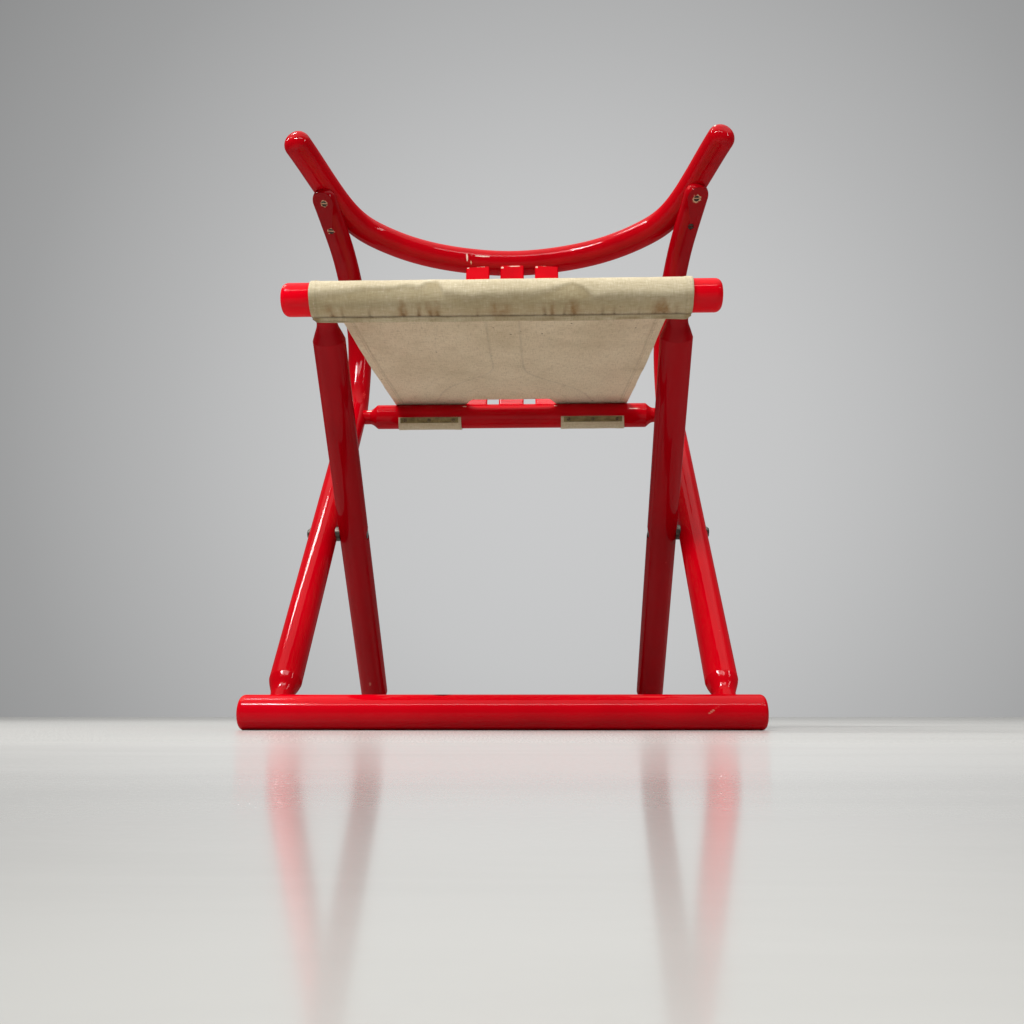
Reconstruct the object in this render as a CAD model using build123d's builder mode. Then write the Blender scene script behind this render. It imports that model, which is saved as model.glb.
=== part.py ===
from build123d import *
import math
import os

os.makedirs("parts", exist_ok=True)

# ---------------------------------------------------------------- driving dimensions (mm)
# Side view coordinates are (y, z): y runs from the front of the chair to the back,
# measured from the front floor rail, and OY moves the origin to the middle of the footprint.
OY = 192.5

RAIL_D = 36.0            # both floor rails and the front seat rail
LEG_D = 34.5
INNER_LEG_D = 36.0
HOOP_D = 38.0
SEAT_RAIL_D = 34.5       # rear seat rail
RAIL_END_R = 6.0
SEAT_RAIL_END_R = 7.5
FLOOR_FLAT = 0.5         # depth planed off under the floor rails

FRONT_RAIL_LEN = 534.0
INNER_RAIL_LEN = 470.0   # front seat rail and rear floor rail
OUTER_X = 228.5          # half spacing of the outer legs
INNER_X = 190.5          # half spacing of the inner legs

FLOOR_Z = RAIL_D / 2 - FLOOR_FLAT
A_FOOT = (0.0, FLOOR_Z)          # front floor rail
A_SEAT = (355.0, 439.0)          # rear seat rail
B_TOP = (-31.0, 453.0)           # front seat rail
B_FOOT = (400.0, FLOOR_Z)        # rear floor rail

A_NECK_D = 23.5
B_NECK_D = 22.5
TENON_IN = 10.0          # tenon depth below a rail surface

SEAT_NECK_D = 20.5
SEAT_RAIL_FULL = 193.0   # half length of the full-diameter part
SEAT_RAIL_SHOULDER = 204.5
SEAT_RAIL_END = 222.0

SLAT_W = 36.0
SLAT_T = 10.0
SLAT_PITCH = 53.0
SLAT_HOOP_OFFSET = 8.5   # slat middle plane in front of the hoop axis

HOOP_MID = (417.0, 706.0)
HOOP_TILT = 19.8         # degrees, arms rising to the front
HOOP_END_R = 15.0

BOLT_D = 8.0
BOLT_BORE = 8.1
SPOT_D = 19.0
SPOT_DEPTH = 1.5
WASHER_D = 18.0
HEAD_SPOT_D = 17.0
HEAD_SPOT_DEPTH = 2.0
NUT_POCKET_D = 15.0
NUT_POCKET_DEPTH = 6.0

SCREW_D = 4.2
SCREW_HEAD_D = 8.4
SCREW_LEN = 34.0
SLOT_W = 1.2              # driver slots
SLOT_DEPTH = 1.1

CLOTH_T = 1.2
SLEEVE_HALF = 203.0
WRAP_IN = 72.5           # the rear lobes of the seat, from the slat cut-out to the side edge
WRAP_OUT = 161.5
STRIP_IN = 75.5
STRIP_OUT = 158.5
STRIP_T = 1.2
TACK_HEAD_D = 5.2


# ---------------------------------------------------------------- helpers
def P3(x, y, z):
    return Vector(x, y - OY, z)


def unit(a, b):
    d = (b[0] - a[0], b[1] - a[1])
    n = math.hypot(*d)
    return (d[0] / n, d[1] / n), n


dirA, lenA = unit(A_FOOT, A_SEAT)
dirB, lenB = unit(B_FOOT, B_TOP)
dA = Vector(0, dirA[0], dirA[1])
dB = Vector(0, dirB[0], dirB[1])

# hinge: crossing point of the two straight leg lines
_den = dirA[0] * dirB[1] - dirA[1] * dirB[0]
_t = ((B_FOOT[0] - A_FOOT[0]) * dirB[1] - (B_FOOT[1] - A_FOOT[1]) * dirB[0]) / _den
PIVOT = (A_FOOT[0] + _t * dirA[0], A_FOOT[1] + _t * dirA[1])

SPLINE_START = 565.0     # distance up the outer leg where the bend begins


def legA_plane(x):
    return Plane(origin=P3(x, *A_FOOT), x_dir=(1, 0, 0), z_dir=Vector(1, 0, 0).cross(dA))


def legB_plane(x):
    return Plane(origin=P3(x, *B_FOOT), x_dir=(1, 0, 0), z_dir=Vector(1, 0, 0).cross(dB))


def x_plane(x, y, z, sign=1):
    return Plane(origin=P3(x, y, z), x_dir=(0, 1, 0), z_dir=(sign, 0, 0))


TILT = math.radians(HOOP_TILT)
hoop_plane = Plane(origin=P3(0, *HOOP_MID), x_dir=(1, 0, 0),
                   z_dir=(0, -math.sin(TILT), -math.cos(TILT)))
HOOP_PTS = [(69.3, 6.7), (136.0, 24.5), (196.8, 56.3), (223.2, 78.3), (243.3, 107.7),
            (257.9, 140.8), (269.9, 174.0), (294.8, 241.5)]

slat_dir, _slat_n = unit(A_SEAT, (HOOP_MID[0] - SLAT_HOOP_OFFSET, HOOP_MID[1]))
SLAT_BOTTOM = 8.0
SLAT_TOP = _slat_n - 5.0

# bend and top of the outer legs: x, y, z of the centre line
UPRIGHT = [(228.5, 381.0, 492.0), (229.0, 389.5, 537.0), (232.5, 388.0, 590.0),
           (241.5, 369.0, 648.0), (249.5, 340.0, 688.0), (255.5, 311.0, 709.5),
           (261.0, 286.8, 726.5), (263.8, 268.0, 735.6)]
SCARF_N = Vector(0.15, -0.64, -0.76).normalized()
SCARF_TIP = (265.3, 252.8, 736.4)
SCARF_SCREWS = [(263.7, 263.3, 727.3), (259.1, 294.2, 700.7)]
SCREW_SINK = 1.0


def mirrored(v, side):
    return Vector(v.X * side, v.Y, v.Z)


def cyl_between(a, b, r, mode=Mode.ADD):
    d = b - a
    with BuildSketch(Plane(origin=a, z_dir=d)) as disc:
        Circle(r)
    extrude(disc.sketch, amount=d.length, mode=mode)


# ---------------------------------------------------------------- hoop screws (two a side)
with BuildPart() as hoop_screws:
    for side in (-1, 1):
        n = mirrored(SCARF_N, side)
        for p in SCARF_SCREWS:
            q = mirrored(P3(*p), side) - n * SCREW_SINK
            with BuildSketch(Plane(origin=q, z_dir=-n)):
                Circle(SCREW_HEAD_D / 2)
            extrude(amount=1.0)
            with BuildSketch(Plane(origin=q - n * 1.0, z_dir=-n)):
                Circle(SCREW_HEAD_D / 2)
            extrude(amount=2.4, taper=40)
            with BuildSketch(Plane(origin=q - n * 2.0, z_dir=-n)):
                Circle(SCREW_D / 2)
            extrude(amount=SCREW_LEN)
            with BuildSketch(Plane(origin=q + n * 0.5, z_dir=-n)):
                Rectangle(SLOT_W, SCREW_HEAD_D + 2)
            extrude(amount=SLOT_DEPTH + 0.5, mode=Mode.SUBTRACT)
hoop_screws.part.label = "hoop_screws"

# ---------------------------------------------------------------- tacks of the rear clamp strips
STRIP_A0, STRIP_A1 = 200.0, 223.5
R_CLOTH = SEAT_RAIL_D / 2 + 0.05
R_STRIP = R_CLOTH + CLOTH_T + 0.02
tack_angle = math.radians((STRIP_A0 + STRIP_A1) / 2)
tack_dir = Vector(0, math.cos(tack_angle), math.sin(tack_angle))
TACK_X = [STRIP_IN + 7.0, (STRIP_IN + STRIP_OUT) / 2, STRIP_OUT - 7.0]
with BuildPart() as clamp_tacks:
    for side in (-1, 1):
        for x in TACK_X:
            c = P3(side * x, *A_SEAT)
            base = c + tack_dir * (R_STRIP + STRIP_T)
            with BuildSketch(Plane(origin=base, z_dir=tack_dir)):
                Circle(TACK_HEAD_D / 2)
            extrude(amount=0.9, taper=25)
            with BuildSketch(Plane(origin=base, z_dir=-tack_dir)):
                Circle(1.0)
            extrude(amount=11.0)
clamp_tacks.part.label = "clamp_tacks"


# ---------------------------------------------------------------- clamp strips and rear lobes of the cloth
def ring_sector(x0, x1, r0, r1, a0, a1):
    with BuildSketch(x_plane(x0, *A_SEAT)) as ring:
        with BuildLine():
            inner = CenterArc((0, 0), r0, a0, a1 - a0)
            outer = CenterArc((0, 0), r1, a0, a1 - a0)
            Line(inner @ 0, outer @ 0)
            Line(inner @ 1, outer @ 1)
        make_face()
    extrude(ring.sketch, amount=x1 - x0)


with BuildPart() as clamp_strip_left:
    ring_sector(-STRIP_OUT, -STRIP_IN, R_STRIP, R_STRIP + STRIP_T, STRIP_A0, STRIP_A1)
    add(clamp_tacks.part, mode=Mode.SUBTRACT)
clamp_strip_left.part.label = "clamp_strip_left"

with BuildPart() as clamp_strip_right:
    ring_sector(STRIP_IN, STRIP_OUT, R_STRIP, R_STRIP + STRIP_T, STRIP_A0, STRIP_A1)
    add(clamp_tacks.part, mode=Mode.SUBTRACT)
clamp_strip_right.part.label = "clamp_strip_right"

with BuildPart() as canvas_lobe_left:
    ring_sector(-WRAP_OUT, -WRAP_IN, R_CLOTH, R_CLOTH + CLOTH_T, -162.0, 86.0)
    add(clamp_tacks.part, mode=Mode.SUBTRACT)
canvas_lobe_left.part.label = "canvas_lobe_left"

with BuildPart() as canvas_lobe_right:
    ring_sector(WRAP_IN, WRAP_OUT, R_CLOTH, R_CLOTH + CLOTH_T, -162.0, 86.0)
    add(clamp_tacks.part, mode=Mode.SUBTRACT)
canvas_lobe_right.part.label = "canvas_lobe_right"


# ---------------------------------------------------------------- back slats
def slat(x):
    base = P3(x, *A_SEAT) + Vector(0, slat_dir[0], slat_dir[1]) * SLAT_BOTTOM
    with BuildSketch(Plane(origin=base, x_dir=(1, 0, 0), z_dir=(0, slat_dir[0], slat_dir[1]))) as strip:
        RectangleRounded(SLAT_W, SLAT_T, 2.5)
    extrude(strip.sketch, amount=SLAT_TOP - SLAT_BOTTOM)


with BuildPart() as back_slat_left:
    slat(-SLAT_PITCH)
back_slat_left.part.label = "back_slat_left"

with BuildPart() as back_slat_centre:
    slat(0)
back_slat_centre.part.label = "back_slat_centre"

with BuildPart() as back_slat_right:
    slat(SLAT_PITCH)
back_slat_right.part.label = "back_slat_right"

# ---------------------------------------------------------------- back hoop
with BuildPart() as back_hoop:
    with BuildLine(hoop_plane) as hoop_path:
        Spline(*([(-x, v) for x, v in reversed(HOOP_PTS)] + [(0, 0)] + HOOP_PTS))
    with BuildSketch(Plane(origin=hoop_path.line @ 0, z_dir=hoop_path.line % 0)):
        Circle(HOOP_D / 2)
    sweep(path=hoop_path.line)
    tips = back_hoop.faces().filter_by(GeomType.PLANE)
    fillet(tips.edges(), HOOP_END_R)
    add(back_slat_left.part, mode=Mode.SUBTRACT)
    add(back_slat_centre.part, mode=Mode.SUBTRACT)
    add(back_slat_right.part, mode=Mode.SUBTRACT)
    add(hoop_screws.part, mode=Mode.SUBTRACT)
back_hoop.part.label = "back_hoop"


# ---------------------------------------------------------------- outer legs (floor, hinge, bend, scarf under the hoop)
def outer_leg(side):
    x = side * OUTER_X
    r, rn = LEG_D / 2, A_NECK_D / 2
    s0 = RAIL_D / 2 - TENON_IN
    with BuildSketch(legA_plane(x)) as profile:
        with BuildLine():
            Line((0, s0), (rn, s0))
            Line((rn, s0), (rn, 22.0))
            Spline((rn, 22.0), (rn + 1.1, 28.0), (rn + 3.3, 34.0), (r, 42.0), tangents=((0.0, 1.0), (0.22, 1.0)))
            Line((r, 42.0), (r, SPLINE_START))
            Line((r, SPLINE_START), (0, SPLINE_START))
            Line((0, SPLINE_START), (0, s0))
        make_face()
    revolve(profile.sketch, axis=Axis(P3(x, *A_FOOT), dA))
    start = P3(x, *A_FOOT) + dA * SPLINE_START
    pts = [start] + [mirrored(P3(*p), side) for p in UPRIGHT]
    with BuildLine() as path:
        Spline(*pts, tangents=(dA, (mirrored(P3(*UPRIGHT[-1]), side) - mirrored(P3(*UPRIGHT[-2]), side)).normalized()))
    with BuildSketch(Plane(origin=start, z_dir=dA)) as section:
        Circle(r)
    sweep(section.sketch, path=path.line)
    with Locations(mirrored(P3(*UPRIGHT[-1]), side)):
        Sphere(r)
    n = mirrored(SCARF_N, side)
    with BuildSketch(Plane(origin=mirrored(P3(*SCARF_TIP), side), z_dir=n)) as scarf:
        Rectangle(140, 140)
    extrude(scarf.sketch, amount=40, mode=Mode.SUBTRACT)
    add(back_hoop.part, mode=Mode.SUBTRACT)
    add(hoop_screws.part, mode=Mode.SUBTRACT)
    for p in SCARF_SCREWS:
        q = mirrored(P3(*p), side)
        cyl_between(q - n * SCREW_SINK, q + n * 3.0, SCREW_HEAD_D / 2, Mode.SUBTRACT)
    # hinge bore, spot faces outside and inside
    cyl_between(P3(side * (OUTER_X - 30), *PIVOT), P3(side * (OUTER_X + 30), *PIVOT), BOLT_D / 2, Mode.SUBTRACT)
    cyl_between(P3(side * (OUTER_X + r - HEAD_SPOT_DEPTH), *PIVOT), P3(side * (OUTER_X + r + 5), *PIVOT),
                HEAD_SPOT_D / 2, Mode.SUBTRACT)
    cyl_between(P3(side * (OUTER_X - r - 5), *PIVOT), P3(side * (OUTER_X - r + SPOT_DEPTH), *PIVOT),
                SPOT_D / 2, Mode.SUBTRACT)
    # socket of the rear seat rail
    cyl_between(P3(side * (OUTER_X - r - 2), *A_SEAT), P3(side * SEAT_RAIL_END, *A_SEAT), SEAT_NECK_D / 2, Mode.SUBTRACT)


with BuildPart() as outer_leg_left:
    outer_leg(-1)
outer_leg_left.part.label = "outer_leg_left"

with BuildPart() as outer_leg_right:
    outer_leg(1)
outer_leg_right.part.label = "outer_leg_right"


# ---------------------------------------------------------------- inner legs
def inner_leg(side):
    x = side * INNER_X
    r, rn = INNER_LEG_D / 2, B_NECK_D / 2
    s0 = RAIL_D / 2 - TENON_IN
    s1 = lenB - s0
    with BuildSketch(legB_plane(x)) as profile:
        with BuildLine():
            Line((0, s0), (rn, s0))
            Line((rn, s0), (rn, 22.0))
            Spline((rn, 22.0), (rn + 1.2, 28.0), (rn + 3.6, 34.0), (r, 42.0), tangents=((0.0, 1.0), (0.22, 1.0)))
            Line((r, 42.0), (r, lenB - 46.5))
            Spline((r, lenB - 46.5), (rn + 2.8, lenB - 36.0), (rn, lenB - 26.0), tangents=((-0.38, 1.0), (0.0, 1.0)))
            Line((rn, lenB - 26.0), (rn, s1))
            Line((rn, s1), (0, s1))
            Line((0, s1), (0, s0))
        make_face()
    revolve(profile.sketch, axis=Axis(P3(x, *B_FOOT), dB))
    cyl_between(P3(side * (INNER_X - 30), *PIVOT), P3(side * (INNER_X + 30), *PIVOT), BOLT_BORE / 2, Mode.SUBTRACT)
    cyl_between(P3(side * (INNER_X + r - SPOT_DEPTH), *PIVOT), P3(side * (INNER_X + r + 5), *PIVOT),
                SPOT_D / 2 + 0.5, Mode.SUBTRACT)
    cyl_between(P3(side * (INNER_X - r - 5), *PIVOT), P3(side * (INNER_X - r + NUT_POCKET_DEPTH), *PIVOT),
                NUT_POCKET_D / 2, Mode.SUBTRACT)


with BuildPart() as inner_leg_left:
    inner_leg(-1)
inner_leg_left.part.label = "inner_leg_left"

with BuildPart() as inner_leg_right:
    inner_leg(1)
inner_leg_right.part.label = "inner_leg_right"


# ---------------------------------------------------------------- round rails
def rail(centre, length):
    with BuildSketch(x_plane(-length / 2, *centre)) as disc:
        Circle(RAIL_D / 2)
    extrude(disc.sketch, amount=length)


with BuildPart() as front_floor_rail:
    rail(A_FOOT, FRONT_RAIL_LEN)
    fillet(front_floor_rail.edges(), RAIL_END_R)
    with Locations(P3(0, A_FOOT[0], -5.0)):
        Box(FRONT_RAIL_LEN + 10, 60, 10, mode=Mode.SUBTRACT)
    for side in (-1, 1):
        a = P3(side * OUTER_X, *A_FOOT)
        cyl_between(a + dA * (RAIL_D / 2 - TENON_IN), a + dA * 30, A_NECK_D / 2, Mode.SUBTRACT)
front_floor_rail.part.label = "front_floor_rail"

with BuildPart() as rear_floor_rail:
    rail(B_FOOT, INNER_RAIL_LEN)
    fillet(rear_floor_rail.edges(), RAIL_END_R)
    with Locations(P3(0, B_FOOT[0], -5.0)):
        Box(INNER_RAIL_LEN + 10, 60, 10, mode=Mode.SUBTRACT)
    for side in (-1, 1):
        a = P3(side * INNER_X, *B_FOOT)
        cyl_between(a + dB * (RAIL_D / 2 - TENON_IN), a + dB * 30, B_NECK_D / 2, Mode.SUBTRACT)
rear_floor_rail.part.label = "rear_floor_rail"

with BuildPart() as front_seat_rail:
    rail(B_TOP, INNER_RAIL_LEN)
    fillet(front_seat_rail.edges(), SEAT_RAIL_END_R)
    for side in (-1, 1):
        a = P3(side * INNER_X, *B_TOP)
        cyl_between(a - dB * (RAIL_D / 2 - TENON_IN), a - dB * 30, B_NECK_D / 2, Mode.SUBTRACT)
front_seat_rail.part.label = "front_seat_rail"

with BuildPart() as rear_seat_rail:
    r, rn = SEAT_RAIL_D / 2, SEAT_NECK_D / 2
    with BuildSketch(Plane(origin=P3(0, *A_SEAT), x_dir=(1, 0, 0), z_dir=(0, -1, 0))):
        with BuildLine():
            Line((-SEAT_RAIL_END, 0), (-SEAT_RAIL_END, rn))
            Line((-SEAT_RAIL_END, rn), (-SEAT_RAIL_SHOULDER, rn))
            Spline((-SEAT_RAIL_SHOULDER, rn), (-SEAT_RAIL_FULL, r), tangents=((1.0, 0.1), (1.0, 0.62)))
            Line((-SEAT_RAIL_FULL, r), (SEAT_RAIL_FULL, r))
            Spline((SEAT_RAIL_FULL, r), (SEAT_RAIL_SHOULDER, rn), tangents=((1.0, -0.62), (1.0, -0.1)))
            Line((SEAT_RAIL_SHOULDER, rn), (SEAT_RAIL_END, rn))
            Line((SEAT_RAIL_END, rn), (SEAT_RAIL_END, 0))
            Line((SEAT_RAIL_END, 0), (-SEAT_RAIL_END, 0))
        make_face()
    revolve(axis=Axis(P3(0, *A_SEAT), (1, 0, 0)))
    add(back_slat_left.part, mode=Mode.SUBTRACT)
    add(back_slat_centre.part, mode=Mode.SUBTRACT)
    add(back_slat_right.part, mode=Mode.SUBTRACT)
    add(clamp_tacks.part, mode=Mode.SUBTRACT)
rear_seat_rail.part.label = "rear_seat_rail"

# ---------------------------------------------------------------- hinge hardware
R = LEG_D / 2
RI = INNER_LEG_D / 2
HEAD_X = OUTER_X + R - HEAD_SPOT_DEPTH
with BuildPart() as pivot_bolts:
    for side in (-1, 1):
        cyl_between(P3(side * (INNER_X - RI + 1.2), *PIVOT), P3(side * (HEAD_X + 1.2), *PIVOT), BOLT_D / 2)
        with BuildSketch(x_plane(side * (HEAD_X + 1.2), *PIVOT, sign=side)):
            Circle(6.2)
        extrude(amount=1.9)
        with BuildSketch(x_plane(side * (HEAD_X + 3.1), *PIVOT, sign=side)):
            Circle(6.2)
        extrude(amount=1.2, taper=45)
        with BuildSketch(x_plane(side * (HEAD_X + 4.3 - SLOT_DEPTH), *PIVOT, sign=side)):
            Rectangle(20, SLOT_W, rotation=35)
        extrude(amount=3.0, mode=Mode.SUBTRACT)
pivot_bolts.part.label = "pivot_bolts"

with BuildPart() as head_washers:
    for side in (-1, 1):
        with BuildSketch(x_plane(side * HEAD_X, *PIVOT, sign=side)):
            Circle(7.8)
            Circle(BOLT_D / 2, mode=Mode.SUBTRACT)
        extrude(amount=1.2)
head_washers.part.label = "head_washers"

with BuildPart() as spacer_washers:
    for side in (-1, 1):
        with BuildSketch(x_plane(side * (INNER_X + RI - SPOT_DEPTH + 0.3), *PIVOT, sign=side)):
            Circle(WASHER_D / 2)
            Circle(BOLT_D / 2, mode=Mode.SUBTRACT)
        extrude(amount=(OUTER_X - INNER_X) - R - RI + 2 * SPOT_DEPTH - 0.3)
spacer_washers.part.label = "spacer_washers"

with BuildPart() as pivot_nuts:
    for side in (-1, 1):
        with BuildSketch(x_plane(side * (INNER_X - RI + NUT_POCKET_DEPTH - 0.3), *PIVOT, sign=-side)):
            RegularPolygon(6.2, 6)
            Circle(BOLT_D / 2, mode=Mode.SUBTRACT)
        extrude(amount=4.6)
pivot_nuts.part.label = "pivot_nuts"

# ---------------------------------------------------------------- canvas: front sleeve and seat panel
with BuildPart() as canvas_sleeve:
    with BuildSketch(x_plane(-SLEEVE_HALF, *B_TOP)):
        Circle(RAIL_D / 2 + 0.05 + CLOTH_T)
        Circle(RAIL_D / 2 + 0.05, mode=Mode.SUBTRACT)
    extrude(amount=2 * SLEEVE_HALF)
    for side in (-1, 1):
        a = P3(side * INNER_X, *B_TOP)
        cyl_between(a, a - dB * 60, B_NECK_D / 2 + 0.5, Mode.SUBTRACT)
canvas_sleeve.part.label = "canvas_sleeve"

PANEL_T = 1.6
z_front = B_TOP[1] + RAIL_D / 2 + 0.6
z_rear = A_SEAT[1] + SEAT_RAIL_D / 2 + 1.6
slope = (z_rear - z_front) / (A_SEAT[0] - B_TOP[0])
panel_start, panel_end, cut_start = -9.0, 335.0, 326.0
p_dir = Vector(0, 1, slope).normalized()
panel_plane = Plane(origin=P3(0, B_TOP[0], z_front), x_dir=(1, 0, 0), z_dir=Vector(1, 0, 0).cross(p_dir))
k = math.hypot(1, slope)


def pv(y):
    return (y - B_TOP[0]) * k


def half_width(y):
    return 200.0 + (166.5 - 200.0) * (y - B_TOP[0]) / (A_SEAT[0] - B_TOP[0])


with BuildPart() as seat_panel:
    with BuildSketch(panel_plane):
        with BuildLine():
            Polyline((-half_width(panel_start), pv(panel_start)), (half_width(panel_start), pv(panel_start)),
                     (half_width(panel_end), pv(panel_end)), (WRAP_IN, pv(panel_end)),
                     (WRAP_IN - 6, pv(cut_start)), (-(WRAP_IN - 6), pv(cut_start)),
                     (-WRAP_IN, pv(panel_end)), (-half_width(panel_end), pv(panel_end)), close=True)
        make_face()
    extrude(amount=PANEL_T)
seat_panel.part.label = "seat_panel"

# ---------------------------------------------------------------- export
export_step(front_floor_rail.part, "parts/front_floor_rail.step")
export_step(outer_leg_left.part, "parts/outer_leg_left.step")
export_step(outer_leg_right.part, "parts/outer_leg_right.step")
export_step(rear_seat_rail.part, "parts/rear_seat_rail.step")
export_step(back_slat_left.part, "parts/back_slat_left.step")
export_step(back_slat_centre.part, "parts/back_slat_centre.step")
export_step(back_slat_right.part, "parts/back_slat_right.step")
export_step(back_hoop.part, "parts/back_hoop.step")
export_step(hoop_screws.part, "parts/hoop_screws.step")
export_step(clamp_strip_left.part, "parts/clamp_strip_left.step")
export_step(clamp_strip_right.part, "parts/clamp_strip_right.step")
export_step(clamp_tacks.part, "parts/clamp_tacks.step")
export_step(canvas_lobe_left.part, "parts/canvas_lobe_left.step")
export_step(canvas_lobe_right.part, "parts/canvas_lobe_right.step")
export_step(pivot_bolts.part, "parts/pivot_bolts.step")
export_step(head_washers.part, "parts/head_washers.step")
export_step(spacer_washers.part, "parts/spacer_washers.step")
export_step(pivot_nuts.part, "parts/pivot_nuts.step")
export_step(inner_leg_left.part, "parts/inner_leg_left.step")
export_step(inner_leg_right.part, "parts/inner_leg_right.step")
export_step(front_seat_rail.part, "parts/front_seat_rail.step")
export_step(rear_floor_rail.part, "parts/rear_floor_rail.step")
export_step(canvas_sleeve.part, "parts/canvas_sleeve.step")
export_step(seat_panel.part, "parts/seat_panel.step")
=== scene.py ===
import bpy
import math
import numpy as np
from mathutils import Matrix, Vector


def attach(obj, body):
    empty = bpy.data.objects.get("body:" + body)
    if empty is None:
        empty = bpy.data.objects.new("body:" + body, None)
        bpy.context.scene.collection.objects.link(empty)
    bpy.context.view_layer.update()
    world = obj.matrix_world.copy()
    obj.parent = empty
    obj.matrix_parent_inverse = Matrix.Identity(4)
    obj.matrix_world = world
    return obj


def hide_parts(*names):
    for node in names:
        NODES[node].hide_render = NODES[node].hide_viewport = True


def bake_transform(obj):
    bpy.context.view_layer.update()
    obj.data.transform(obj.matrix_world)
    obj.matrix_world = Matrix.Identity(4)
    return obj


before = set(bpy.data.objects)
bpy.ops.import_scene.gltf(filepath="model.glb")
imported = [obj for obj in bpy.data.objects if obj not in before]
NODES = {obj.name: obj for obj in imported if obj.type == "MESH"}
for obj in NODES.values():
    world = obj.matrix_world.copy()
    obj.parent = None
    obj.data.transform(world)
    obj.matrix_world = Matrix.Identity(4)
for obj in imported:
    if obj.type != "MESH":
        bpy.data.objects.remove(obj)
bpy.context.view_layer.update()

# ---------------------------------------------------------------- frame dimensions (metres, row frame)
OY = 0.1925
RAIL_C = np.array([-0.031 - OY, 0.453])        # front seat rail axis, (y, z)
REAR_C = np.array([0.355 - OY, 0.439])         # rear seat rail axis
RAIL_R = 0.018
REAR_R = 0.01725
T = 0.0012                                      # cloth thickness
R1 = RAIL_R + 0.00015 + T / 2
R2 = REAR_R + 0.0001 + T / 2
SLEEVE_HALF = 0.203
CUT_HALF = 0.0715
SEAM_ANGLE = math.radians(-82.0)


# ---------------------------------------------------------------- small numpy noise, seeded
def value_noise(x, y, seed, freq):
    rng = np.random.RandomState(seed)
    g = rng.rand(64, 64)
    u, v = x * freq, y * freq
    i, j = np.floor(u).astype(int), np.floor(v).astype(int)
    fu, fv = u - i, v - j
    fu, fv = fu * fu * (3 - 2 * fu), fv * fv * (3 - 2 * fv)
    a = g[i % 64, j % 64]; b = g[(i + 1) % 64, j % 64]
    c = g[i % 64, (j + 1) % 64]; d = g[(i + 1) % 64, (j + 1) % 64]
    return (a * (1 - fu) + b * fu) * (1 - fv) + (c * (1 - fu) + d * fu) * fv - 0.5


def smooth(e0, e1, x):
    t = np.clip((x - e0) / (e1 - e0), 0, 1)
    return t * t * (3 - 2 * t)


# ---------------------------------------------------------------- node helpers
class N:
    def __init__(self, name):
        self.mat = bpy.data.materials.new(name)
        self.mat.use_nodes = True
        self.t = self.mat.node_tree
        self.t.nodes.clear()
        self.out = self.t.nodes.new("ShaderNodeOutputMaterial")
        self.bsdf = self.t.nodes.new("ShaderNodeBsdfPrincipled")
        self.t.links.new(self.bsdf.outputs[0], self.out.inputs[0])
        self.co = self.t.nodes.new("ShaderNodeTexCoord")

    def new(self, kind, **kw):
        n = self.t.nodes.new(kind)
        for k, v in kw.items():
            setattr(n, k, v)
        return n

    def link(self, a, b):
        self.t.links.new(a, b)

    def put(self, sock, v):
        if isinstance(v, bpy.types.NodeSocket):
            self.link(v, sock)
        else:
            sock.default_value = v

    def math(self, op, a, b=0.0, c=0.0, clamp=False):
        n = self.new("ShaderNodeMath", operation=op, use_clamp=clamp)
        self.put(n.inputs[0], a); self.put(n.inputs[1], b); self.put(n.inputs[2], c)
        return n.outputs[0]

    def vmath(self, op, a, b=(0, 0, 0), scale=None):
        n = self.new("ShaderNodeVectorMath", operation=op)
        self.put(n.inputs[0], a)
        if op not in ("LENGTH", "NORMALIZE", "SCALE"):
            self.put(n.inputs[1], b)
        if scale is not None:
            self.put(n.inputs["Scale"], scale)
        return n.outputs["Value"] if op in ("LENGTH", "DOT_PRODUCT", "DISTANCE") else n.outputs["Vector"]

    def noise(self, vec, scale, detail=2.0, rough=0.5, dist=0.0):
        n = self.new("ShaderNodeTexNoise")
        self.put(n.inputs["Vector"], vec)
        n.inputs["Scale"].default_value = scale
        n.inputs["Detail"].default_value = detail
        n.inputs["Roughness"].default_value = rough
        n.inputs["Distortion"].default_value = dist
        return n.outputs["Fac"]

    def ramp(self, fac, stops):
        n = self.new("ShaderNodeValToRGB")
        self.put(n.inputs[0], fac)
        e = n.color_ramp.elements
        while len(e) < len(stops):
            e.new(0.5)
        for el, (p, c) in zip(e, stops):
            el.position = p
            el.color = (*c, 1) if len(c) == 3 else (c[0],) * 3 + (1,) if len(c) == 1 else c
        return n.outputs[0]

    def mix(self, fac, a, b):
        n = self.new("ShaderNodeMix", data_type="RGBA")
        self.put(n.inputs[0], fac)
        self.put(n.inputs[6], a if isinstance(a, bpy.types.NodeSocket) else (*a, 1))
        self.put(n.inputs[7], b if isinstance(b, bpy.types.NodeSocket) else (*b, 1))
        return n.outputs[2]

    def maprange(self, v, a, b, c=0.0, d=1.0, kind="SMOOTHSTEP"):
        n = self.new("ShaderNodeMapRange", interpolation_type=kind)
        self.put(n.inputs["Value"], v)
        n.inputs["From Min"].default_value = a
        n.inputs["From Max"].default_value = b
        n.inputs["To Min"].default_value = c
        n.inputs["To Max"].default_value = d
        return n.outputs["Result"]

    def bump(self, height, dist, strength=1.0, normal=None):
        n = self.new("ShaderNodeBump")
        n.inputs["Strength"].default_value = strength
        n.inputs["Distance"].default_value = dist
        self.put(n.inputs["Height"], height)
        if normal is not None:
            self.link(normal, n.inputs["Normal"])
        return n.outputs[0]


def P(x, y, z):
    """Side-view point of the CAD script (mm, y from the front floor rail) in the row frame."""
    return Vector((x / 1000, y / 1000 - OY, z / 1000))


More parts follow.
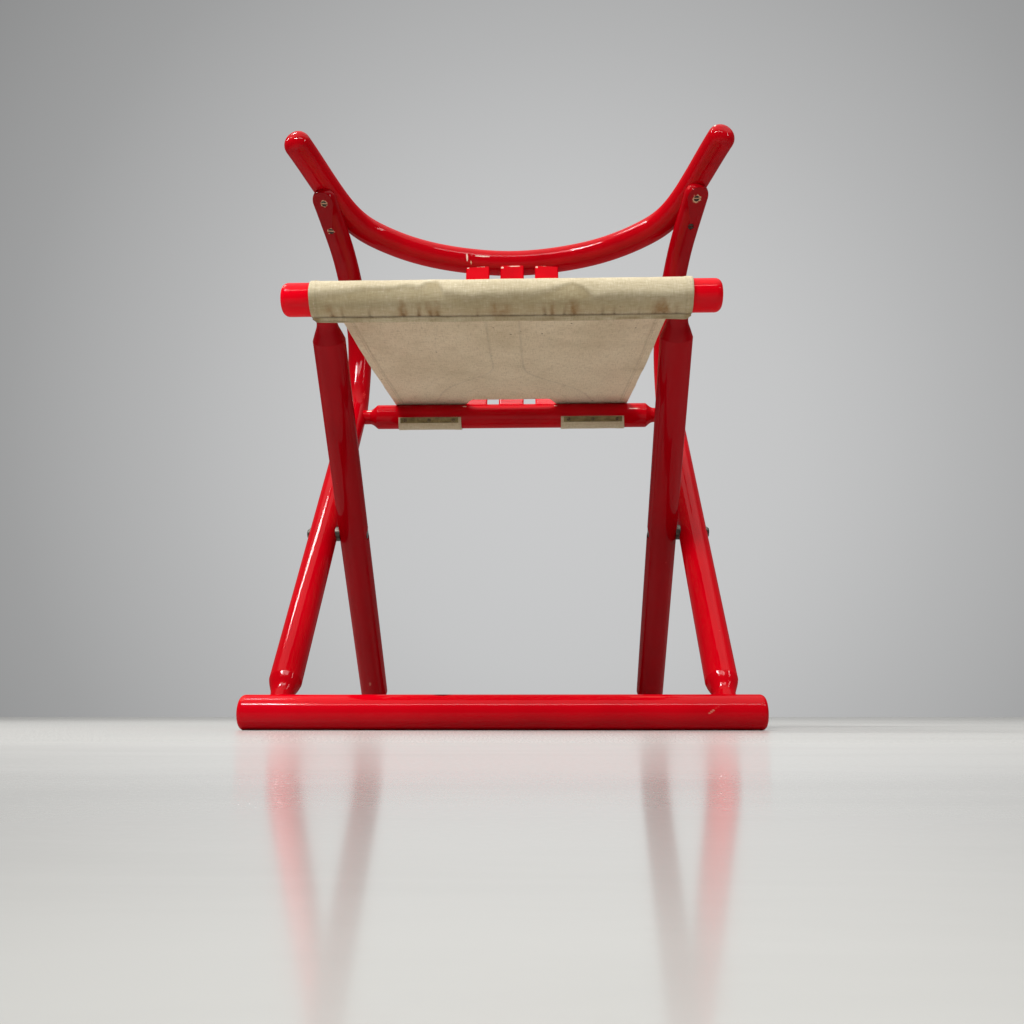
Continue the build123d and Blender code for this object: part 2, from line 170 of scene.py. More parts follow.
# ---------------------------------------------------------------- red lacquer on turned and bent wood
def lacquer(name, along, chips=(), seed=0.0, red_with_painted_light=0.56, upper_painted_shade=1.0):
    """along: direction of the grain. chips: (centre, (sx, sy, sz) radii in metres, kind)."""
    m = N(name)
    obj = m.co.outputs["Object"]
    d = Vector(along).normalized()
    dot = m.vmath("DOT_PRODUCT", obj, tuple(d))
    squeeze = m.vmath("SCALE", tuple(d), scale=m.math("MULTIPLY", dot, -0.94))
    grain_co = m.vmath("ADD", m.vmath("ADD", obj, squeeze), (seed, seed * 0.37, -seed))
    shifted = m.vmath("ADD", obj, (seed, -seed, seed * 0.5))
    tone = m.noise(shifted, 7.0, 3.0, 0.55)
    grain = m.noise(grain_co, 260.0, 4.0, 0.6, 0.4)
    streak = m.noise(grain_co, 75.0, 3.0, 0.55, 0.2)
    base = m.ramp(tone, [(0.3, (red_with_painted_light * 0.80, 0.0002, red_with_painted_light * 0.008)), (0.55, (red_with_painted_light, 0.0003, red_with_painted_light * 0.011)), (0.8, (red_with_painted_light * 1.08, 0.0006, red_with_painted_light * 0.016))])
    base = m.mix(m.maprange(streak, 0.52, 0.74, 0.0, 0.22), base, (red_with_painted_light * 0.62, 0.0003, 0.004))
    base = m.mix(m.maprange(grain, 0.58, 0.80, 0.0, 0.10), base, (red_with_painted_light * 1.15, 0.012, 0.016))
    if upper_painted_shade < 1.0:
        # painted shade: darker towards the top, where the legs get less light bounced from the floor
        sp = m.new("ShaderNodeSeparateXYZ")
        m.link(obj, sp.inputs[0])
        base = m.mix(m.maprange(sp.outputs[2], 0.36, 0.62, 0.0, 1.0), base, m.vmath("SCALE", base, scale=upper_painted_shade))
    # handling marks: short pale rubs and pin holes
    rub = m.noise(m.vmath("ADD", grain_co, (0.7, 0.2, 0.1)), 150.0, 5.0, 0.7, 0.8)
    rubmask = m.maprange(rub, 0.70, 0.76, 0.0, 0.28)
    base = m.mix(rubmask, base, (red_with_painted_light * 1.1, 0.06, 0.06))
    vor = m.new("ShaderNodeTexVoronoi", feature="F1")
    m.put(vor.inputs["Vector"], m.vmath("ADD", obj, (seed + 3.1, 1.7, seed)))
    vor.inputs["Scale"].default_value = 95.0
    speck = m.maprange(vor.outputs["Distance"], 0.022, 0.045, 1.0, 0.0)
    keep = m.maprange(m.noise(shifted, 19.0, 1.0), 0.58, 0.64, 0.0, 1.0)
    speck = m.math("MULTIPLY", speck, keep)
    base = m.mix(m.math("MULTIPLY", speck, 0.55), base, (0.16, 0.002, 0.003))
    rough = m.math("ADD", m.maprange(tone, 0.3, 0.8, 0.05, 0.09), m.math("MULTIPLY", rubmask, 0.8))
    height = m.math("ADD", m.math("MULTIPLY", m.noise(shifted, 46.0, 2.0), 0.55), m.math("MULTIPLY", grain, 0.20))
    height = m.math("SUBTRACT", height, m.math("MULTIPLY", speck, 0.5))
    chipmask = None
    wobble = m.noise(obj, 330.0, 3.0, 0.6)
    for centre, radii, kind in chips:
        rel = m.vmath("SUBTRACT", obj, tuple(centre))
        rel = m.vmath("MULTIPLY", rel, (1 / radii[0], 1 / radii[1], 1 / radii[2]))
        dist = m.math("ADD", m.vmath("LENGTH", rel), m.math("MULTIPLY", m.math("SUBTRACT", wobble, 0.5), 1.5))
        hole = m.maprange(dist, 0.84, 0.93, 1.0, 0.0)
        col = {"wood": (0.66, 0.40, 0.26), "dark": (0.07, 0.003, 0.003), "pale": (0.78, 0.60, 0.50), "rub": (0.62, 0.05, 0.045), "scratch": (0.50, 0.17, 0.12)}[kind]
        amount = {"wood": 0.95, "dark": 0.8, "pale": 0.9, "rub": 0.45, "scratch": 0.75}[kind]
        base = m.mix(m.math("MULTIPLY", hole, amount), base, col)
        chipmask = hole if chipmask is None else m.math("MAXIMUM", chipmask, hole)
    if chipmask is not None:
        rough = m.math("ADD", rough, m.math("MULTIPLY", chipmask, 0.45))
        height = m.math("SUBTRACT", height, m.math("MULTIPLY", chipmask, 1.4))
    m.link(base, m.bsdf.inputs["Base Color"])
    m.link(rough, m.bsdf.inputs["Roughness"])
    m.bsdf.inputs["IOR"].default_value = 1.5
    m.bsdf.inputs["Specular IOR Level"].default_value = 0.0
    m.link(m.maprange(chipmask, 0.0, 1.0, 0.24, 0.05, "LINEAR") if chipmask is not None else m.maprange(rubmask, 0.0, 0.28, 0.24, 0.16, "LINEAR"), m.bsdf.inputs["Coat Weight"])
    m.link(m.math("MULTIPLY", rough, 0.75), m.bsdf.inputs["Coat Roughness"])
    relief = m.bump(height, 0.00020, 0.34)
    m.link(relief, m.bsdf.inputs["Normal"])
    m.link(relief, m.bsdf.inputs["Coat Normal"])
    return m.mat


def assign(node, mat):
    o = NODES[node]
    if not o.material_slots:
        o.data.materials.append(mat)
    for s in o.material_slots:
        s.material = mat


dA = Vector((0, 0.6446, 0.7645))
dB = Vector((0, -0.7034, 0.7108))
mm = 0.001
X1 = Vector((1, 0, 0))

# painted light and shade: the red level given to each part below was set to match how bright the part looks, so parts
# of the one paint differ, highest on the lit front seat rail and slats, lowest on the shaded inner legs
assign("front_floor_rail", lacquer("lacquer_front_floor_rail", X1, [
    (P(207.5, -17, 16.8), (1.6 * mm, 6 * mm, 1.2 * mm), "scratch"),
    (P(209.2, -17, 18.1), (1.6 * mm, 6 * mm, 1.2 * mm), "scratch"),
    (P(211.2, -17, 19.6), (1.6 * mm, 6 * mm, 1.1 * mm), "scratch"),
    (P(214.2, -17, 21.7), (1.2 * mm, 6 * mm, 1.0 * mm), "rub"),
    (P(216.5, -17, 23.2), (1.1 * mm, 6 * mm, 0.9 * mm), "rub"),
    (P(-60, -4, 35), (9 * mm, 4 * mm, 1.6 * mm), "dark"),
    (P(150, -10, 33), (24 * mm, 5 * mm, 1.0 * mm), "rub"),
    (P(-262, -8, 30), (4 * mm, 6 * mm, 4 * mm), "rub")], seed=0.3, red_with_painted_light=0.52))
assign("rear_floor_rail", lacquer("lacquer_rear_floor_rail", X1, [
    (P(-130, 414, 28), (9 * mm, 9 * mm, 1.5 * mm), "dark"),
    (P(170, 415, 24), (4 * mm, 8 * mm, 2 * mm), "pale")], seed=1.3))
assign("front_seat_rail", lacquer("lacquer_front_seat_rail", X1, [
    (P(-231, -45, 466), (3 * mm, 4 * mm, 3.4 * mm), "rub")], seed=2.1, red_with_painted_light=0.74))
assign("rear_seat_rail", lacquer("lacquer_rear_seat_rail", X1, [
    (P(-205, 345, 446), (5 * mm, 6 * mm, 1.5 * mm), "pale"),
    (P(-67, 341, 450), (3 * mm, 3 * mm, 1.2 * mm), "pale"),
    # partly a scratch, partly a painted highlight: this pale mark near the right end stands in for the lamp's
    # reflection there
    (P(176, 338, 444), (9 * mm, 3 * mm, 0.8 * mm), "pale"),
    (P(64, 341, 450), (3 * mm, 3 * mm, 1.2 * mm), "pale"),
    # painted highlight: this long thin rub along the top of the rail stands in for the lamp's reflection seen through
    # the slat gap
    (P(-2, 338, 446.5), (29 * mm, 3 * mm, 0.55 * mm), "rub")], seed=3.7, red_with_painted_light=0.46))
assign("outer_leg_left", lacquer("lacquer_outer_leg_left", dA, [
    (P(-263.7, 263.3, 727.3), (5.4 * mm, 5.4 * mm, 4.8 * mm), "wood"),
    (P(-259.1, 294.2, 700.7), (5.4 * mm, 5.4 * mm, 4.2 * mm), "wood"),
    (P(-262, 254, 751), (7 * mm, 5 * mm, 1.4 * mm), "pale"),
    (P(-238, 9, 60), (2.0 * mm, 3 * mm, 1.2 * mm), "pale"),
    (P(-224, 6, 63), (3.4 * mm, 3 * mm, 0.8 * mm), "rub"),
    (P(-217, 372, 474), (3 * mm, 12 * mm, 9 * mm), "rub")], seed=4.9, red_with_painted_light=0.43, upper_painted_shade=0.70))
assign("outer_leg_right", lacquer("lacquer_outer_leg_right", dA, [
    (P(263.7, 263.3, 727.3), (6.6 * mm, 6.6 * mm, 5.4 * mm), "wood"),
    (P(259.1, 294.2, 700.7), (5.0 * mm, 5.4 * mm, 4.2 * mm), "dark"),
    (P(252, 256, 742), (2 * mm, 5 * mm, 5 * mm), "rub"),
    (P(229, 40, 97), (1.2 * mm, 4 * mm, 1.4 * mm), "rub"),
    (P(233, 52, 104), (1.0 * mm, 4 * mm, 1.0 * mm), "rub"),
    (P(226, 10, 63), (7 * mm, 3 * mm, 0.8 * mm), "rub"),
    (P(238, 16, 70), (2.2 * mm, 4 * mm, 1.2 * mm), "rub")], seed=5.2, red_with_painted_light=0.52, upper_painted_shade=0.62))
assign("inner_leg_left", lacquer("lacquer_inner_leg_left", dB, [
    (P(-191, 336, 56.5), (1.5 * mm, 5 * mm, 3.0 * mm), "scratch"),
    (P(-200, 120, 290), (2 * mm, 8 * mm, 9 * mm), "rub")], seed=6.4, red_with_painted_light=0.35))
assign("inner_leg_right", lacquer("lacquer_inner_leg_right", dB, [
    (P(196, 195, 200), (1.0 * mm, 6 * mm, 1.0 * mm), "rub"),
    (P(204, 20, 400), (2 * mm, 8 * mm, 12 * mm), "rub")], seed=7.7, red_with_painted_light=0.35))
for i, (n, x) in enumerate((("back_slat_left", -53), ("back_slat_centre", 0), ("back_slat_right", 53))):
    assign(n, lacquer("lacquer_" + n, (0, 0.2, 0.98), [
        (P(x + 3, 399, 693.6), (11 * mm, 9 * mm, 0.9 * mm), "pale"),
        (P(x - 15, 399, 691.5), (2.2 * mm, 9 * mm, 1.6 * mm), "pale"),
        (P(x + (9, -4, 6)[i], 372, 560), (5 * mm, 7 * mm, 1.2 * mm), "rub")], seed=8.1 + i, red_with_painted_light=0.66))
assign("back_hoop", lacquer("lacquer_back_hoop", X1, [
    (P(-69, 395, 705), (1.5 * mm, 14 * mm, 6.6 * mm), "pale"),
    (P(-63, 395, 698), (1.0 * mm, 10 * mm, 3.0 * mm), "wood"),
    (P(-47, 397, 708), (15 * mm, 8 * mm, 1.3 * mm), "pale"),
    (P(292, 184, 806), (5.0 * mm, 5 * mm, 1.5 * mm), "pale"),
    (P(299, 183, 804), (3.4 * mm, 4 * mm, 1.4 * mm), "wood"),
    (P(280, 193, 797), (1.6 * mm, 6 * mm, 4.0 * mm), "pale"),
    (P(277, 197, 789), (1.3 * mm, 6 * mm, 3.0 * mm), "wood"),
    (P(-306, 186, 799), (1.4 * mm, 5 * mm, 3.4 * mm), "pale"),
    (P(233, 352, 744), (3 * mm, 6 * mm, 2 * mm), "rub"),
    (P(150, 408, 712), (7 * mm, 6 * mm, 1.0 * mm), "rub")], seed=9.5, red_with_painted_light=0.43))


# ---------------------------------------------------------------- metal
def metal(name, dark, light, rough, scale=160.0, metallic=1.0, rust=None):
    m = N(name)
    obj = m.co.outputs["Object"]
    n1 = m.noise(obj, scale, 4.0, 0.65)
    n2 = m.noise(m.vmath("MULTIPLY", obj, (1.0, 6.0, 6.0)), scale * 2.2, 3.0, 0.6)
    base = m.ramp(n1, [(0.3, dark), (0.62, light)])
    if rust is not None:
        base = m.mix(m.maprange(m.noise(obj, scale * 1.7, 5.0, 0.7), 0.5, 0.62, 0.0, 0.7), base, rust)
    m.link(base, m.bsdf.inputs["Base Color"])
    m.bsdf.inputs["Metallic"].default_value = metallic
    m.link(m.maprange(n2, 0.3, 0.7, rough - 0.08, rough + 0.12, "LINEAR"), m.bsdf.inputs["Roughness"])
    m.link(m.bump(m.math("ADD", n1, m.math("MULTIPLY", n2, 0.6)), 0.0001, 0.6), m.bsdf.inputs["Normal"])
    return m.mat


steel = metal("aged_steel", (0.04, 0.035, 0.030), (0.13, 0.118, 0.102), 0.42, rust=(0.06, 0.028, 0.018))
screw_steel = metal("screw_steel", (0.010, 0.008, 0.007), (0.075, 0.064, 0.054), 0.36, 420.0, rust=(0.02, 0.012, 0.008))
brass = metal("tarnished_brass", (0.110, 0.088, 0.036), (0.225, 0.182, 0.082), 0.42, 90.0, metallic=0.85, rust=(0.098, 0.077, 0.031))
tack_mat = metal("tack_brass", (0.030, 0.024, 0.014), (0.15, 0.125, 0.075), 0.30, 300.0)
for n in ("pivot_bolts", "head_washers", "spacer_washers", "pivot_nuts"):
    assign(n, steel)
assign("hoop_screws", screw_steel)
assign("clamp_strip_left", brass)
assign("clamp_strip_right", brass)
assign("clamp_tacks", tack_mat)


# ---------------------------------------------------------------- canvas
def canvas_material(name, stitched=False):
    m = N(name)
    uv = m.co.outputs["UV"]                       # metres of cloth
    obj = m.co.outputs["Object"]
    slub = m.noise(m.vmath("MULTIPLY", uv, (1.0, 9.0, 1.0)), 240.0, 3.0, 0.6)
    slub2 = m.noise(m.vmath("MULTIPLY", uv, (9.0, 1.0, 1.0)), 240.0, 3.0, 0.6)
    sep = m.new("ShaderNodeSeparateXYZ")
    m.link(uv, sep.inputs[0])
    k = 2 * math.pi / 0.00125
    ph = m.math("MULTIPLY", m.math("SUBTRACT", m.noise(uv, 90.0, 2.0), 0.5), 2.2)
    wx = m.math("SINE", m.math("ADD", m.math("MULTIPLY", sep.outputs[0], k), ph))
    wy = m.math("SINE", m.math("ADD", m.math("MULTIPLY", sep.outputs[1], k), ph))
    weave = m.math("MULTIPLY", wx, wy)
    weave01 = m.math("MULTIPLY_ADD", weave, 0.5, 0.5)
    threads = m.math("ADD", m.math("MULTIPLY", slub, 0.5), m.math("MULTIPLY", slub2, 0.5))
    # colour: tan outside; the underside, which lies in shade, gets a lighter cream as painted light, and more dust
    # specks
    at = m.new("ShaderNodeAttribute", attribute_name="under")
    under = at.outputs["Fac"]
    cloud = m.noise(obj, 14.0, 4.0, 0.6, 0.3)
    outside = m.ramp(cloud, [(0.32, (0.500, 0.428, 0.280)), (0.6, (0.585, 0.508, 0.345)), (0.8, (0.635, 0.560, 0.395))])
    painted_lit_underside = m.ramp(cloud, [(0.3, (0.735, 0.622, 0.425)), (0.55, (0.820, 0.706, 0.494)), (0.8, (0.860, 0.752, 0.540))])
    base = m.mix(under, outside, painted_lit_underside)
    base = m.mix(m.maprange(threads, 0.38, 0.62, 0.30, 0.0), base, (0.40, 0.32, 0.19))
    base = m.mix(m.math("MULTIPLY", m.math("SUBTRACT", 1.0, weave01), 0.16), base, (0.30, 0.23, 0.13))
    # thick and thin yarns, both ways of the cloth
    yarn_a = m.noise(m.vmath("MULTIPLY", uv, (0.16, 1.0, 1.0)), 620.0, 2.0, 0.55)
    yarn_b = m.noise(m.vmath("MULTIPLY", uv, (1.0, 0.16, 1.0)), 620.0, 2.0, 0.55)
    yarn = m.math("ADD", m.math("MULTIPLY", yarn_a, 0.55), m.math("MULTIPLY", yarn_b, 0.45))
    base = m.mix(m.maprange(yarn, 0.34, 0.52, 0.44, 0.0), base, (0.35, 0.275, 0.155))
    base = m.mix(m.maprange(yarn, 0.52, 0.68, 0.0, 0.34), base, (0.82, 0.75, 0.58))
    # grime mixed with painted shade, rust, and seam lines with painted shade in folds and creases are painted per
    # vertex from their positions
    for attr, col, amt in (("grime_and_shade", (0.345, 0.262, 0.118), 0.95), ("rust", (0.250, 0.128, 0.034), 0.95), ("seam_and_crease_shade", (0.060, 0.038, 0.020), 0.95)):
        a = m.new("ShaderNodeAttribute", attribute_name=attr)
        fac = m.math("MULTIPLY", a.outputs["Fac"], m.maprange(m.noise(obj, 260.0, 4.0, 0.7), 0.25, 0.7, 0.6 * amt, amt, "LINEAR"))
        base = m.mix(fac, base, col)
    # specks of dirt
    vor = m.new("ShaderNodeTexVoronoi", feature="F1")
    m.put(vor.inputs["Vector"], m.vmath("ADD", obj, (0.31, 0.77, 0.11)))
    vor.inputs["Scale"].default_value = 62.0
    sp = m.maprange(m.math("ADD", vor.outputs["Distance"], m.math("MULTIPLY", m.noise(obj, 500.0, 2.0), 0.08)), 0.095, 0.130, 1.0, 0.0)
    sel = m.maprange(m.noise(obj, 24.0, 2.0), 0.50, 0.60, 0.0, 1.0)
    spk = m.math("MULTIPLY", m.math("MULTIPLY", sp, sel), m.math("MULTIPLY_ADD", under, 0.6, 0.2))
    base = m.mix(spk, base, (0.085, 0.055, 0.03))
    m.link(base, m.bsdf.inputs["Base Color"])
    m.link(m.maprange(threads, 0.3, 0.7, 0.78, 0.92, "LINEAR"), m.bsdf.inputs["Roughness"])
    m.bsdf.inputs["Specular IOR Level"].default_value = 0.22
    m.bsdf.inputs["Sheen Weight"].default_value = 0.12
    m.bsdf.inputs["Sheen Roughness"].default_value = 0.5
    h = m.math("ADD", m.math("ADD", m.math("MULTIPLY", weave, 0.5), m.math("MULTIPLY", threads, 1.6)), m.math("MULTIPLY", yarn, 2.2))
    m.link(m.bump(h, 0.00028, 0.75), m.bsdf.inputs["Normal"])
    return m.mat


canvas = canvas_material("natural_canvas")

thread = N("cotton_thread")
tw = thread.noise(thread.co.outputs["Object"], 900.0, 3.0, 0.6)
thread.link(thread.ramp(tw, [(0.3, (0.40, 0.31, 0.19)), (0.7, (0.62, 0.53, 0.37))]), thread.bsdf.inputs["Base Color"])
thread.link(thread.maprange(tw, 0.2, 0.8, 0.6, 0.85, "LINEAR"), thread.bsdf.inputs["Roughness"])
thread.link(thread.bump(tw, 0.0001, 0.6), thread.bsdf.inputs["Normal"])


# profile of the cloth in the (y, z) plane, by arc length from the seam under the front rail
D = REAR_C - RAIL_C
dist = float(np.hypot(*D))
alpha = math.atan2(D[1], D[0])
top = alpha + math.pi / 2 + math.asin((R1 - R2) / dist)     # normal angle of the top tangent
LA = R1 * (SEAM_ANGLE + 2 * math.pi - top)                   # round the front rail, bottom to top by the front
LB = math.sqrt(dist ** 2 - (R1 - R2) ** 2)
TAB_ANGLE = math.radians(-161.0)
LC = R2 * (top - TAB_ANGLE)
LEN = LA + LB + LC
q0 = RAIL_C + R1 * np.array([math.cos(top), math.sin(top)])
q1 = REAR_C + R2 * np.array([math.cos(top), math.sin(top)])


def profile(s):
    """point and outward normal of the cloth's middle surface at arc length s (arrays)"""
    s = np.asarray(s, float)
    a1 = SEAM_ANGLE + 2 * math.pi - s / R1
    a3 = top - (s - LA - LB) / R2
    t = np.clip((s - LA) / LB, 0, 1)
    y = np.where(s < LA, RAIL_C[0] + R1 * np.cos(a1), np.where(s < LA + LB, q0[0] + t * (q1[0] - q0[0]), REAR_C[0] + R2 * np.cos(a3)))
    z = np.where(s < LA, RAIL_C[1] + R1 * np.sin(a1), np.where(s < LA + LB, q0[1] + t * (q1[1] - q0[1]), REAR_C[1] + R2 * np.sin(a3)))
    ang = np.where(s < LA, a1, np.where(s < LA + LB, top, a3))
    return y, z, np.cos(ang), np.sin(ang)


def half_width(s):
    s = np.asarray(s, float)
    f = (s - LA) / LB
    w = np.where(f < 0, SLEEVE_HALF, np.interp(f, [0, 0.035, 0.075, 0.13, 1.0, 1.05, 1.20], [0.2030, 0.2020, 0.1965, 0.1900, 0.1665, 0.1650, 0.1612]))
    return w


NL, NM, NR = 104, 156, 104
rows_a, rows_b, rows_end, rows_c = 64, 220, 18, 56


def columns(s, cut):
    h = half_width(s)
    return h


# marks above the seam: x, strength of the pucker line, half width (mm) and strength of the brown bloom
MARKS = [(-0.1804, 1.0, 3.4, .55), (-0.1688, .8, 1.4, .25), (-0.1400, .8, 1.6, .20), (-0.1037, .9, 3.6, .80), (-0.0874, 1.0, 1.6, .60),
         (-0.0740, .5, 2.4, .70), (-0.0675, .6, 2.6, .75), (-0.0250, .7, 1.3, .20), (-0.0040, .1, 5.0, .55), (0.0060, .1, 4.0, .45),
         (0.0475, 1.0, 1.3, .35), (0.0548, .7, 2.0, .60), (0.0674, .8, 1.4, .40), (0.0785, .5, 4.0, .75), (0.1077, .7, 1.3, .20),
         (0.1208, .9, 1.3, .20), (0.1467, .7, 1.3, .15), (0.1640, .6, 4.0, .55), (0.1735, .4, 4.4, .85), (0.1863, .6, 2.4, .45)]
# the line where the cloth folds over on the front of the sleeve: x and share of the way down
FOLD_X = [-0.203, -0.182, -0.149, -0.136, -0.116, -0.099, -0.086, -0.077, -0.066, -0.060, -0.030, 0.009, 0.030, 0.050, 0.065, 0.0755, 0.0885, 0.0985, 0.123, 0.176, 0.203]
FOLD_F = [0.50, 0.46, 0.36, 0.345, 0.345, 0.28, 0.34, 0.22, 0.22, 0.48, 0.53, 0.50, 0.51, 0.45, 0.33, 0.28, 0.38, 0.55, 0.58, 0.58, 0.56]
FOLD_S = [0.10, 0.10, 0.06, 0.035, 0.035, 0.045, 0.05, 0.05, 0.05, 0.10, 0.08, 0.09, 0.10, 0.07, 0.05, 0.04, 0.035, 0.06, 0.12, 0.12, 0.10]


def cut_profile(x):
    """arc length where the slat cut-out begins, for a column at x"""
    s_mid = LA + LB - (0.355 - 0.327)
    s_side = LA + LB + 0.002
    return s_mid + (s_side - s_mid) * smooth(0.052, 0.0695, np.abs(x)) ** 1.3


def crease(x, y):
    """seams and stretch lines seen from below: returns a thin ridge, used for a groove and for painted shade along the
    lines
    """
    left = [(-0.0215, -0.175), (-0.0205, -0.06), (-0.0185, 0.000), (-0.0200, 0.012), (-0.0290, 0.032), (-0.0520, 0.052), (-0.0800, 0.079), (-0.0950, 0.105), (-0.1080, 0.150)]
    right = [(0.0170, -0.175), (0.0185, -0.06), (0.0195, 0.000), (0.0235, 0.020), (0.0310, 0.036), (0.0600, 0.064), (0.0920, 0.094), (0.1060, 0.118), (0.1170, 0.150)]
    arc = [(-0.0730, 0.150), (-0.0690, 0.122), (-0.0560, 0.098), (-0.0350, 0.082), (-0.0120, 0.075), (0.0150, 0.074), (0.0400, 0.084), (0.0600, 0.101), (0.0760, 0.126), (0.0840, 0.150)]
    side = [(-0.0790, -0.120), (-0.0850, -0.085), (-0.0875, -0.050), (-0.0860, -0.015)]
    thin = np.zeros_like(x)
    for pts, wgt in ((left, 1.0), (right, 1.0), (arc, 0.55), (side, 0.30)):
        p = np.array(pts)
        t = np.linspace(0, len(p) - 1, 90)
        px, py = np.interp(t, range(len(p)), p[:, 0]), np.interp(t, range(len(p)), p[:, 1])
        for _ in range(3):
            px[3:-3] = np.convolve(px, np.ones(7) / 7, "valid")
            py[3:-3] = np.convolve(py, np.ones(7) / 7, "valid")
        best = np.full(x.shape, 9.0)
        for a, b, c, d in zip(px[:-1], py[:-1], px[1:], py[1:]):
            vx, vy = c - a, d - b
            u = np.clip(((x - a) * vx + (y - b) * vy) / (vx * vx + vy * vy + 1e-12), 0, 1)
            best = np.minimum(best, np.hypot(x - a - u * vx, y - b - u * vy))
        strength = wgt * (0.75 + 0.5 * value_noise(x + 1.7, y + 0.4, 61, 40.0))
        thin = np.maximum(thin, strength * np.exp(-(best / 0.0014) ** 2))
    return thin


def build_sheet():
    # columns: side lobes and middle share the cut-out's side lines
    f_l = np.linspace(-1, 0, NL + 1)
    f_m = np.linspace(-1, 1, NM + 1)
    f_r = np.linspace(0, 1, NR + 1)
    n_cols = NL + NM + NR + 1
    n_top = rows_a + rows_b + rows_end
    n_rows = n_top + rows_c + 1
    X = np.zeros((n_rows, n_cols)); S = np.zeros((n_rows, n_cols))
    s_side = LA + LB + 0.002
    frac_a = np.linspace(0, LA, rows_a + 1)
    frac_b = np.linspace(LA, LA + LB - 0.045, rows_b + 1)[1:]
    s_fixed = np.concatenate([frac_a, frac_b])
    for r in range(n_rows):
        if r < len(s_fixed):
            s_row = np.full(n_cols, s_fixed[r])
        elif r <= n_top:
            s_row = None
        else:
            s_row = np.full(n_cols, s_side + (LEN - s_side) * (r - n_top) / rows_c)
        s0 = s_fixed[min(r, len(s_fixed) - 1)] if r < len(s_fixed) else (s_fixed[-1] if r <= n_top else s_row[0])
        h = float(half_width(s0 if r < len(s_fixed) else (s_fixed[-1] + (s_side - s_fixed[-1]) * (r - len(s_fixed) + 1) / (n_top - len(s_fixed) + 1) if r <= n_top else s_row[0])))
        xl = -h + (h - CUT_HALF) * (f_l + 1)
        xm = CUT_HALF * f_m
        xr = CUT_HALF + (h - CUT_HALF) * f_r
        x = np.concatenate([xl, xm[1:], xr[1:]])
        if s_row is None:
            k = (r - len(s_fixed) + 1) / (n_top - len(s_fixed) + 1)
            s_row = s_fixed[-1] + (cut_profile(x) - s_fixed[-1]) * k
        X[r], S[r] = x, s_row
    y, z, ny, nz = profile(S)
    H = half_width(S)
    edge = np.minimum(H - np.abs(X), 1.0)
    on_panel = (S > LA) & (S < LA + LB)
    f = np.clip((S - LA) / LB, 0, 1)
    # sag of the seat, a little more in the middle, and slack ripples
    sag = -0.0058 * np.sin(np.pi * f) ** 1.2 * (1 - 0.30 * (X / np.maximum(H, 1e-3)) ** 2)
    rip = 0.0016 * value_noise(X + 1.3, S + 0.7, 3, 14.0) + 0.0008 * value_noise(X + 2.1, S, 5, 34.0)
    pan = np.sin(np.pi * f) ** 0.7
    disp = (sag + rip * pan) * on_panel
    # sleeve: the cloth stands off the rail above a wavy fold line, lies closer below it, and puckers above the seam
    on_sleeve = (S <= LA)
    down = 1 - np.clip(S / LA, 0, 1)
    # share of the way down the visible front, from the crown to the seam
    frac = (LA - S) / LA
    vis = np.clip((frac - 0.16) / (1 - 0.16), 0, 1)
    fold_f = np.interp(X, FOLD_X, FOLD_F) + 0.035 * value_noise(X + 3, X * 0, 71, 60.0)
    fold_w = np.interp(X, FOLD_X, FOLD_S)
    below = smooth(-1, 1, (vis - fold_f) / fold_w)
    soft = 0.0007 * (value_noise(X + 4.0, S, 7, 26.0) + 0.5) + 0.0005 * (value_noise(X, S + 9, 8, 70.0) + 0.5)
    window = np.sin(np.pi * np.clip(S / LA, 0, 1)) ** 0.6
    ridge = 0.0012 * np.exp(-((vis - fold_f + fold_w * 0.9) / 0.10) ** 2) + 0.0009 * (1 - below) * np.clip(vis / 0.2, 0, 1)
    pucker = np.zeros_like(X)
    for x0, a, w, b in MARKS:
        pucker += a * np.exp(-((X - x0) / 0.0016) ** 2)
    rng = np.random.RandomState(11)
    for x0 in np.linspace(-0.195, 0.195, 41) + rng.uniform(-0.004, 0.004, 41):
        pucker += 0.35 * rng.rand() * np.exp(-((X - x0) / 0.0018) ** 2)
    low = np.clip(1 - S / 0.019, 0, 1)
    lip = np.exp(-((S - 0.0016) / 0.0011) ** 2)
    disp = disp + on_sleeve * (soft * window + ridge * window - 0.0006 * np.clip(pucker, 0, 1) * np.clip(low * 2.2, 0, 1) * (1 - 0.5 * low) + 0.0005 * lip)
    disp = np.where(on_sleeve, np.maximum(disp, 0.0), disp)
    # rear lobes stay tight, with a slight slack
    on_rear = S >= LA + LB
    disp = disp + on_rear * 0.0003 * (value_noise(X + 5, S, 9, 50.0) + 0.5)
    cr = crease(X, y) * on_panel
    disp = disp - 0.00055 * cr
    # hems: the cloth is folded over along every side edge
    hem_w = np.where(on_sleeve, 0.0075, 0.0115)
    hem = 1 - smooth(0, 0.0012, edge - hem_w)
    groove = np.exp(-((edge - hem_w + 0.0022) / 0.0009) ** 2) * np.where(on_rear, 0.0, 1.0)
    s_side0 = LA + LB + 0.002
    cut_gap = np.where(np.abs(X) < CUT_HALF, cut_profile(X) - S, np.hypot(np.abs(X) - CUT_HALF, np.maximum(s_side0 - S, 0)))
    hem2 = (1 - smooth(0, 0.0012, cut_gap - 0.009)) * (S > LA + LB - 0.06)
    hem = np.maximum(hem, hem2)
    roll = 1 - np.clip(edge / 0.0010, 0, 1) ** 2
    up = T / 2 + np.where(on_sleeve, 0.00045, 0.00025) * hem - 0.00022 * groove - 0.0004 * roll
    dn = T / 2 + np.where(on_panel, 0.00085, 0.0) * hem - 0.0002 * groove - 0.0002 * roll
    fade = smooth(LA, LA + 0.02, S) * (1 - smooth(LA + LB - 0.012, LA + LB, S))
    dn = T / 2 + (dn - T / 2) * fade
